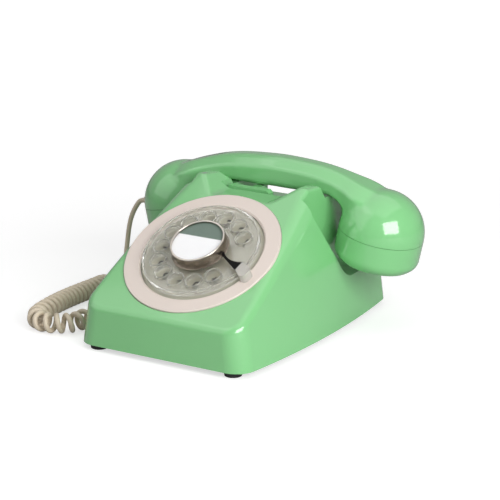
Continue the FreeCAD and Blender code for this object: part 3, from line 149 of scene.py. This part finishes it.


# Handset cord: one beige wire in curls, from the plug in the left wall along the floor and up
# to the mouth cap. The route is a smooth spline; the curls wind round the points read from it.
WIRE = 1.8
CORD_LOW = 7.5
CURL_RADIUS = 5.5
CURL_CLOSE = 4.7
CURL_OPEN = 7.0
CURL_START = 16.0
CURL_RAMP = 9.0
CURL_END = 84.0
OPEN_UNTIL = 82.0
OPEN_FADE = 24.0
TURN_POINTS = 14
LEAD_STEP = 2.0
SPLINE_ORDER = 3
ROUTE_RESOLUTION = 12
CURL_RESOLUTION = 3
WIRE_RESOLUTION = 3
ROUTE = [(-70.03, -58, 13.25), (-74.03, -58, 13.25), (-79.03, -58, 13.25), (-84.5, -62, 10.0),
         (-84.0, -72, 7.8), (-87.0, -82, CORD_LOW), (-97.0, -89.5, CORD_LOW),
         (-109.0, -90, CORD_LOW), (-118.0, -80.5, CORD_LOW), (-121.5, -64, CORD_LOW),
         (-124.0, -44, CORD_LOW), (-124.3, -22, CORD_LOW), (-123.3, 0, CORD_LOW),
         (-124.5, 18, CORD_LOW), (-127.5, 32, 8.5), (-131.3, 43, 14.0), (-132.3, 47.5, 27.0),
         (-130.8, 48, 40.0), (-127.8, 48, 50.0), (-121.19, 48, 60.56), (-118.26, 48, 61.18),
         (-116.3, 48, 61.6)]


def spline_through(name, points, resolution):
    """A curve object of one open NURBS spline with these control points, in metres."""
    curve = bpy.data.curves.new(name, "CURVE")
    curve.dimensions = "3D"
    spline = curve.splines.new("NURBS")
    spline.points.add(len(points) - 1)
    for control, point in zip(spline.points, points):
        control.co = (*point, 1.0)
    spline.order_u = SPLINE_ORDER
    spline.use_endpoint_u = True
    curve.resolution_u = resolution
    obj = bpy.data.objects.new(name, curve)
    scene.collection.objects.link(obj)
    return obj


route = spline_through("cord_route", [Vector(p) * MM for p in ROUTE], ROUTE_RESOLUTION)
route_mesh = bpy.data.meshes.new_from_object(route)
line = [v.co / MM for v in route_mesh.vertices]
bpy.data.objects.remove(route)
bpy.data.meshes.remove(route_mesh)
reach = [0.0]
for a, b in zip(line, line[1:]):
    reach.append(reach[-1] + (b - a).length)


def route_at(along):
    """The route's point and direction at a distance from its start."""
    index = 1
    while index < len(line) - 1 and reach[index] < along:
        index += 1
    share = (along - reach[index - 1]) / (reach[index] - reach[index - 1])
    before = line[max(0, index - 2)]
    after = line[min(len(line) - 1, index + 1)]
    return line[index - 1].lerp(line[index], share), (after - before).normalized()


def limited(value):
    """A value held between 0 and 1."""
    return min(1.0, max(0.0, value))


def ease(value):
    """A smooth step from 0 to 1."""
    value = limited(value)
    return value * value * (3 - 2 * value)


total = reach[-1]
winding = []
phase = 0.0
across = Vector((0, 0, 1))
along = 0.0
while along < total:
    centre, way = route_at(along)
    across = (across - way * across.dot(way)).normalized()
    beside = way.cross(across)
    swell = min(ease((along - CURL_START) / CURL_RAMP), ease((total - CURL_END - along) / CURL_RAMP))
    pitch = CURL_OPEN + (CURL_CLOSE - CURL_OPEN) * limited((along - OPEN_UNTIL) / OPEN_FADE)
    radius = CURL_RADIUS * swell
    winding.append(centre + across * (radius * math.cos(phase)) + beside * (radius * math.sin(phase)))
    if swell > 0:
        phase += 2 * math.pi / TURN_POINTS
        along += pitch / TURN_POINTS
    else:
        along += LEAD_STEP
winding.append(line[-1])
curls = spline_through("cord_curls", [p * MM for p in winding], CURL_RESOLUTION)
centre_mesh = bpy.data.meshes.new_from_object(curls)
curls.data.bevel_depth = WIRE * MM
curls.data.bevel_resolution = WIRE_RESOLUTION
curls.data.use_fill_caps = True
cord = bpy.data.objects.new("handset_cord_curls", bpy.data.meshes.new_from_object(curls))
scene.collection.objects.link(cord)
bpy.data.objects.remove(curls)
bpy.data.meshes.remove(centre_mesh)
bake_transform(cord)
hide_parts("handset_cord")
beige = finish_of("cord_beige", (0.64, 0.55, 0.42), (0.74, 0.64, 0.50), roughness=0.34, spread=0.05,
                  mottle_scale=90.0, grain_scale=900.0, grain_depth=0.0002)
cord.data.materials.append(beige)
dress(beige, "cord_grommet")

# Case, handset and hook bar: one mint-green gloss moulding, polished, with the slight waviness
# of moulded plastic.
mint = finish_of("mint_plastic", (0.205, 0.550, 0.220), (0.225, 0.580, 0.240), roughness=0.17,
                 spread=0.03, mottle_scale=14.0, grain_scale=260.0, grain_depth=0.0001,
                 Coat_Weight=0.8, Coat_Roughness=0.05)
dress(mint, "case_shell", "handset_body", "ear_cap", "mouth_cap", "hook_bar")

# Dial ring: pale cream moulding that stands on the face round the dial.
cream = finish_of("ring_cream", (0.72, 0.63, 0.57), (0.75, 0.66, 0.60), roughness=0.30, spread=0.05,
                  mottle_scale=30.0, grain_scale=500.0, grain_depth=0.0001)
dress(cream, "dial_ring")

# Number plate: painted metal with its signs printed under the holes of the wheel. The dial's
# own frame has its origin on the face and its Z axis along the spindle.
TILT = math.radians(31.2)
DIAL_Y = -51.5
DIAL_Z = 63
DIAL = Matrix.Translation(Vector((0, DIAL_Y, DIAL_Z)) * MM) @ Matrix.Rotation(TILT, 4, "X")
PLATE_TOP = -0.7
SIGNS = "123456789*0#"
SIGN_SIZE = 8.6
SIGN_RAISE = 0.06
SIGN_WEIGHT = 0.3
SIGN_LIFT = 0.08
HOLE_PITCH = 29.6
HOLE_FIRST = 31.0
HOLE_STEP = 25.9
plate = finish_of("plate_paint", (0.33, 0.32, 0.25), (0.39, 0.38, 0.30), roughness=0.42, spread=0.06,
                  mottle_scale=60.0, grain_scale=700.0, grain_depth=0.0001)
dress(plate, "number_plate")
ink, ink_tree, ink_shader = surface("number_ink", grey(0.012), 0.45)
mottle(ink_tree, ink_shader, grey(0.01), grey(0.02), 400.0, 0.4, 0.5)
holes = []
for index in range(len(SIGNS)):
    angle = math.radians(HOLE_FIRST + HOLE_STEP * index)
    holes.append((math.cos(angle) * HOLE_PITCH, math.sin(angle) * HOLE_PITCH))
numbers = bmesh.new()
for sign, (x, y) in zip(SIGNS, holes):
    text = bpy.data.curves.new("sign", "FONT")
    text.body = sign
    text.align_x = "CENTER"
    text.align_y = "CENTER"
    text.size = SIGN_SIZE * MM
    text.extrude = SIGN_RAISE * MM
    text.offset = SIGN_WEIGHT * MM
    text.resolution_u = 4
    carrier = bpy.data.objects.new("sign", text)
    scene.collection.objects.link(carrier)
    mesh = bpy.data.meshes.new_from_object(carrier)
    mesh.transform(DIAL @ Matrix.Translation(Vector((x, y, PLATE_TOP + SIGN_LIFT)) * MM))
    numbers.from_mesh(mesh)
    bpy.data.objects.remove(carrier)
    bpy.data.meshes.remove(mesh)
numbers_mesh = bpy.data.meshes.new("dial_numbers")
numbers.to_mesh(numbers_mesh)
numbers.free()
dial_numbers = bpy.data.objects.new("dial_numbers", numbers_mesh)
scene.collection.objects.link(dial_numbers)
numbers_mesh.materials.append(ink)
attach(dial_numbers, "case")

# Finger wheel: clear polished plastic. A plate with twelve holes, a glassy raised rim and
# round-lipped collars; the number plate shows through it. It turns with the dial.
WHEEL_RADIUS = 41.0
WHEEL_LOW = 1.6
WHEEL_TOP = 3.8
WHEEL_RIM = 1.5
RIM_STAND = 0.6
RIM_ROUND = 0.5
RIM_STEPS = 120
HOLE_RADIUS = 5.3
HOLE_STEPS = 40
COLLAR_WALL = 0.9
COLLAR_LOW = 0.7
COLLAR_TOP = 4.7
COLLAR_ROUND = 0.42
HUB_RADIUS = 19.4
BORE_INSET = 3
BORE_STEPS = 64
SHARP_ANGLE = 0.6


def clear_finish(name, alpha, relief, through=1.0, colour=(0.93, 0.93, 0.90)):
    """Clear plastic with the faint waviness of a moulding."""
    material, tree, shader = surface(name, colour, 0.05, Transmission_Weight=through, IOR=1.49,
                                     Alpha=alpha)
    place = add_node(tree, "ShaderNodeTexCoord", (-900, 0))
    grain(tree, shader, place, 180.0, relief)
    return material


def dial_circle(mesh, centre, radius, height, steps):
    """Adds a ring of vertices round an upright axis at a point of the dial."""
    ring = []
    for step in range(steps):
        angle = 2 * math.pi * step / steps
        x, y = radius * math.cos(angle), radius * math.sin(angle)
        ring.append(mesh.verts.new(DIAL @ (Vector((centre[0] + x, centre[1] + y, height)) * MM)))
    return ring


def lathe_into(mesh, section, centre, steps, closed=True):
    """Spins a section of (radius, height) about an upright axis at a point of the dial."""
    rings = [dial_circle(mesh, centre, radius, height, steps) for radius, height in section]
    for lower, upper in zip(rings, rings[1:] + rings[:1] if closed else rings[1:]):
        for step in range(steps):
            after = (step + 1) % steps
            face = mesh.faces.new((lower[step], lower[after], upper[after], upper[step]))
            face.smooth = True


def round_section(inner, outer, low, high, radius, steps=4):
    """A closed upright section with rounded corners, run anticlockwise."""
    corners = [(inner + radius, low + radius, 180), (outer - radius, low + radius, 270),
               (outer - radius, high - radius, 0), (inner + radius, high - radius, 90)]
    points = []
    for x, z, start in corners:
        for step in range(steps + 1):
            angle = math.radians(start + 90 * step / steps)
            points.append((x + radius * math.cos(angle), z + radius * math.sin(angle)))
    return points


def split_materials(mesh, first_count):
    """Gives all faces after the first ones the second material."""
    mesh.faces.index_update()
    for face in mesh.faces:
        face.material_index = 1 if face.index >= first_count else 0


def new_piece(name, mesh, body, *nodes):
    """Makes an object of a bmesh, which rides on a body and stands for CAD nodes."""
    bmesh.ops.recalc_face_normals(mesh, faces=mesh.faces)
    for edge in mesh.edges:
        edge.smooth = len(edge.link_faces) != 2 or edge.calc_face_angle() < SHARP_ANGLE
    data = bpy.data.meshes.new(name)
    mesh.to_mesh(data)
    mesh.free()
    obj = bpy.data.objects.new(name, data)
    scene.collection.objects.link(obj)
    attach(obj, body)
    if nodes:
        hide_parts(*nodes)
    return obj


clear = clear_finish("clear_plastic", 0.20, 0.0001)
wheel = bmesh.new()
loops = [((0, 0), WHEEL_RADIUS - WHEEL_RIM, RIM_STEPS), ((0, 0), HUB_RADIUS - BORE_INSET, BORE_STEPS)]
loops += [(spot, HOLE_RADIUS + COLLAR_WALL, HOLE_STEPS) for spot in holes]
outline = []
for spot, radius, steps in loops:
    ring = dial_circle(wheel, spot, radius, WHEEL_LOW, steps)
    outline += [wheel.edges.new((a, b)) for a, b in zip(ring, ring[1:] + ring[:1])]
plate_faces = [f for f in bmesh.ops.triangle_fill(wheel, edges=outline, use_beauty=True)["geom"]
               if isinstance(f, bmesh.types.BMFace)]
raised = bmesh.ops.extrude_face_region(wheel, geom=plate_faces, use_keep_orig=True)["geom"]
lift = DIAL.to_3x3() @ Vector((0, 0, (WHEEL_TOP - WHEEL_LOW) * MM))
bmesh.ops.translate(wheel, vec=lift, verts=[v for v in raised if isinstance(v, bmesh.types.BMVert)])
clear_faces = len(wheel.faces)
rim = round_section(WHEEL_RADIUS - WHEEL_RIM, WHEEL_RADIUS, WHEEL_LOW - RIM_STAND,
                    WHEEL_TOP + RIM_STAND, RIM_ROUND)
lathe_into(wheel, rim, (0, 0), RIM_STEPS)
collar = round_section(HOLE_RADIUS, HOLE_RADIUS + COLLAR_WALL, COLLAR_LOW, COLLAR_TOP, COLLAR_ROUND)
for spot in holes:
    lathe_into(wheel, collar, spot, HOLE_STEPS)
split_materials(wheel, clear_faces)
finger_wheel = new_piece("finger_wheel_clear", wheel, "dial", "finger_wheel")
finger_wheel.data.materials.append(clear)
finger_wheel.data.materials.append(clear_finish("collar_clear", 0.95, 0.00003, 0.92))

# Stop bracket and plug: the same clear plastic, milky in the bracket.
dress(clear, "cord_plug")
dress(clear_finish("bracket_clear", 0.85, 0.00005, 0.50, (0.76, 0.74, 0.69)), "stop_bracket")

# Lens: the thin crowned cover of the card, drawn as one clear sheet that is held by the hub's
# ring. Its innermost ring closes to a point too small to see.
LENS_RADIUS = 17.8
LENS_EDGE = 11.0
LENS_CROWN = 1.0
LENS_RINGS = 12
LENS_MIDDLE = 0.05
LENS_STEPS = 96
lens = bmesh.new()
crown = [(LENS_RADIUS * (1 - step / (LENS_RINGS + LENS_MIDDLE)),
          LENS_EDGE + LENS_CROWN * (1 - (1 - step / LENS_RINGS) ** 2))
         for step in range(LENS_RINGS + 1)]
lathe_into(lens, crown, (0, 0), LENS_STEPS, closed=False)
lens_piece = new_piece("lens_crown", lens, "dial", "hub_lens")
lens_piece.data.materials.append(clear_finish("lens_clear", 0.06, 0.00002))

# Hub: a cup with a foot and a groove, its clear wall drawn as dark brown metal that paints in the dark
# reflections it shows (painted reflection), and a bright ring round a card, which is dark in its upper
# third and white below.
HUB_STEPS = 128
HUB_LOW = 3.85
HUB_FOOT = 19.9
HUB_INNER = 17.0
HUB_GROOVE = 19.1
HUB_LEDGE = 17.9
LEDGE_LOW = 10.0
HUB_TOP = 11.0
HUB_SECTION = [(HUB_INNER, HUB_LOW), (HUB_FOOT, HUB_LOW), (HUB_FOOT, 4.2), (HUB_RADIUS, 4.5),
               (19.35, 6.0), (HUB_GROOVE, 6.1), (HUB_GROOVE, 6.4), (19.3, 6.5), (19.05, 10.5),
               (18.9, HUB_TOP), (HUB_LEDGE, HUB_TOP), (HUB_LEDGE, LEDGE_LOW),
               (HUB_INNER, LEDGE_LOW)]
RING_INNER = 17.6
RING_OUTER = 19.0
RING_TOP = 12.1
RING_ROUND = 0.5
CARD_LINE = 4.6
bright = finish_of("hub_metal", (0.62, 0.56, 0.50), (0.74, 0.70, 0.65), roughness=0.16, spread=0.04,
                   mottle_scale=40.0, grain_scale=900.0, grain_depth=0.0001, Metallic=1.0)
# Painted reflection: a darker, browner copy of the hub metal for the cup's wall, in place of the dark
# reflections on it.
hub_wall_reflection = finish_of("hub_wall_painted_reflection", (0.26, 0.21, 0.17), (0.34, 0.29, 0.24), roughness=0.25, spread=0.04,
                   mottle_scale=40.0, grain_scale=900.0, grain_depth=0.0001, Metallic=1.0)
hub = bmesh.new()
lathe_into(hub, HUB_SECTION, (0, 0), HUB_STEPS)
wall_faces = len(hub.faces)
lathe_into(hub, round_section(RING_INNER, RING_OUTER, HUB_TOP, RING_TOP, RING_ROUND), (0, 0), HUB_STEPS)
split_materials(hub, wall_faces)
hub_piece = new_piece("hub_turned", hub, "dial", "hub_cup", "hub_ring")
hub_piece.data.materials.append(hub_wall_reflection)
hub_piece.data.materials.append(bright)
card, card_tree, card_shader = surface("hub_card", grey(0.92), 0.55)
card_place = add_node(card_tree, "ShaderNodeTexCoord", (-1100, 0))
card_turn = add_node(card_tree, "ShaderNodeVectorRotate", (-900, 0), {"rotation_type": "X_AXIS"},
                     Angle=-TILT, Center=DIAL.translation)
card_split = add_node(card_tree, "ShaderNodeSeparateXYZ", (-700, 0))
card_line = add_node(card_tree, "ShaderNodeMath", (-500, 0), {"operation": "GREATER_THAN"})
card_line.inputs[1].default_value = (DIAL_Y + CARD_LINE) * MM
card_noise = add_node(card_tree, "ShaderNodeTexNoise", (-700, -250), Scale=900.0, Detail=2.0)
# The card is white below a straight line across it and dark green-grey above that line, in its upper
# third.
card_dark = add_node(card_tree, "ShaderNodeMix", (-450, -250), {"data_type": "RGBA"},
                     A=(0.135, 0.190, 0.155, 1.0), B=(0.165, 0.225, 0.190, 1.0))
card_mix = add_node(card_tree, "ShaderNodeMix", (-250, 0), {"data_type": "RGBA"},
                    A=(0.95, 0.95, 0.96, 1.0))
link(card_tree, card_place, "Object", card_turn, "Vector")
link(card_tree, card_turn, "Vector", card_split, "Vector")
link(card_tree, card_split, "Y", card_line, 0)
link(card_tree, card_place, "Object", card_noise, "Vector")
link(card_tree, card_noise, "Fac", card_dark, "Factor")
link(card_tree, card_line, "Value", card_mix, "Factor")
link(card_tree, card_dark, "Result", card_mix, "B")
link(card_tree, card_mix, "Result", card_shader, "Base Color")
grain(card_tree, card_shader, card_place, 1500.0, 0.00005)
dress(card, "hub_card")

# Finger stop: a glossy blade painted near black, which stands in for the dark reflections of its chrome
# (painted reflection).
# Painted reflection: near-black colour with little specular, in place of the dark surroundings that the
# chrome blade reflects.
black = finish_of("stop_painted_dark_reflection", grey(0.003), grey(0.006), roughness=0.22, spread=0.04,
                  mottle_scale=60.0, grain_scale=500.0, grain_depth=0.0001, Specular_IOR_Level=0.05)
dress(black, "finger_stop")

# Feet: soft black rubber.
rubber = finish_of("foot_rubber", grey(0.012), grey(0.024), roughness=0.62, spread=0.08,
                   mottle_scale=200.0, grain_scale=1500.0, grain_depth=0.0003)
dress(rubber, "foot_front_left", "foot_front_right", "foot_rear_left", "foot_rear_right")

# Inner works and underside: dark moulded plastic, bright steel, turned brass, laminate and
# moulded components.
dark = finish_of("dark_plastic", grey(0.030), grey(0.045), roughness=0.50, spread=0.08,
                 mottle_scale=80.0, grain_scale=900.0, grain_depth=0.0003)
steel = finish_of("bright_steel", grey(0.50), grey(0.62), roughness=0.30, spread=0.08,
                  mottle_scale=120.0, grain_scale=1200.0, grain_depth=0.0001, Metallic=1.0)
brass = finish_of("turned_brass", (0.62, 0.46, 0.20), (0.78, 0.60, 0.30), roughness=0.27, spread=0.07,
                  mottle_scale=120.0, grain_scale=1200.0, grain_depth=0.0001, Metallic=1.0)
board = finish_of("laminate", (0.07, 0.20, 0.10), (0.10, 0.28, 0.14), roughness=0.45, spread=0.08,
                  mottle_scale=100.0, grain_scale=800.0, grain_depth=0.0002)
moulded = finish_of("component", grey(0.05), grey(0.11), roughness=0.50, spread=0.08,
                    mottle_scale=90.0, grain_scale=900.0, grain_depth=0.0002)
dress(dark, "base_plate", "line_socket", "handset_socket", "hook_contacts", "pulse_contacts")
dress(steel, "base_screws", "dial_screws", "hub_screw", "dial_frame", "dial_back_plate",
      "dial_spindle", "hook_lever", "hook_bracket", "hook_pin", "bell_screws", "gong_posts",
      "ringer_frame", "clapper")
dress(brass, "dial_bush", "main_gear", "spring_drum", "pulse_shaft", "governor_spindle",
      "governor_weights", "bell_left", "bell_right")
dress(board, "circuit_board")
dress(moulded, "board_components", "ringer_coils", "receiver_capsule", "microphone_capsule")

# Floor: white, keeping the soft shadow. For the camera, and through clear plastic, it glows a
# little more the further it lies from the telephone, so that it meets the white surround.
FLOOR_HALF = 6
GLOW_NEAR = 0.25
GLOW_FAR = 1.2
GLOW_LOW = 0.62
GLOW_HIGH = 0.95
floor_data = bpy.data.meshes.new("floor")
floor_data.from_pydata([(-FLOOR_HALF, -FLOOR_HALF, 0), (FLOOR_HALF, -FLOOR_HALF, 0),
                        (FLOOR_HALF, FLOOR_HALF, 0), (-FLOOR_HALF, FLOOR_HALF, 0)], [], [(0, 1, 2, 3)])
floor = bpy.data.objects.new("floor", floor_data)
scene.collection.objects.link(floor)
floor_paint, floor_tree, floor_shader = surface("floor_white", grey(0.55), 0.9,
                                                Emission_Color=(1, 1, 1, 1))
floor_path = add_node(floor_tree, "ShaderNodeLightPath", (-800, -300))
floor_seen = add_node(floor_tree, "ShaderNodeMath", (-600, -300), {"operation": "MAXIMUM"})
floor_place = add_node(floor_tree, "ShaderNodeTexCoord", (-1000, -500))
floor_away = add_node(floor_tree, "ShaderNodeVectorMath", (-800, -500), {"operation": "LENGTH"})
floor_level = add_node(floor_tree, "ShaderNodeMapRange", (-600, -500), From_Min=GLOW_NEAR,
                       From_Max=GLOW_FAR, To_Min=GLOW_LOW, To_Max=GLOW_HIGH)
floor_glow = add_node(floor_tree, "ShaderNodeMath", (-400, -300), {"operation": "MULTIPLY"})
link(floor_tree, floor_path, "Is Camera Ray", floor_seen, 0)
link(floor_tree, floor_path, "Is Transmission Ray", floor_seen, 1)
link(floor_tree, floor_place, "Object", floor_away, 0)
link(floor_tree, floor_away, "Value", floor_level, "Value")
link(floor_tree, floor_seen, "Value", floor_glow, 0)
link(floor_tree, floor_level, "Result", floor_glow, 1)
link(floor_tree, floor_glow, "Value", floor_shader, "Emission Strength")
floor_data.materials.append(floor_paint)

# Surround: a white world that lights the object weakly and shows brighter to the camera, in
# reflections and through clear plastic.
WORLD_LIGHT = 0.12
WORLD_GAINS = (("Is Glossy Ray", 0.25), ("Is Transmission Ray", 0.88), ("Is Camera Ray", 0.88))
world = bpy.data.worlds.new("surround")
scene.world = world
world.use_nodes = True
world_tree = world.node_tree
back = world_tree.nodes["Background"]
back.inputs["Color"].default_value = (1, 1, 1, 1)
path = add_node(world_tree, "ShaderNodeLightPath", (-1000, 0))
level = None
for ray, gain in WORLD_GAINS:
    step = add_node(world_tree, "ShaderNodeMath", (-600, 0), {"operation": "MULTIPLY_ADD"})
    step.inputs[1].default_value = gain
    step.inputs[2].default_value = WORLD_LIGHT
    link(world_tree, path, ray, step, 0)
    if level:
        link(world_tree, level, "Value", step, 2)
    level = step
link(world_tree, level, "Value", back, "Strength")


# Lamps: one soft box in front at the right, which shows on the handset's dome, and larger weak
# ones above and at the left.
def soft_box(name, place, aim, width, height, power):
    """A rectangular area lamp that faces a point."""
    data = bpy.data.lights.new(name, "AREA")
    data.shape = "RECTANGLE"
    data.size = width
    data.size_y = height
    data.energy = power
    lamp = bpy.data.objects.new(name, data)
    scene.collection.objects.link(lamp)
    lamp.location = place
    lamp.rotation_euler = (Vector(place) - Vector(aim)).to_track_quat("Z", "Y").to_euler()


soft_box("soft_box_top", (0.0, 0.05, 1.2), AIM, width=1.5, height=1.5, power=5.2)
soft_box("soft_box_left", (-0.75, -0.65, 0.85), AIM, width=1.3, height=1.3, power=3.9)
soft_box("soft_box_right", (0.845, -0.461, 0.462), (0.08, 0.048, 0.066), width=0.72, height=0.56,
         power=10.5)

bpy.context.view_layer.update()
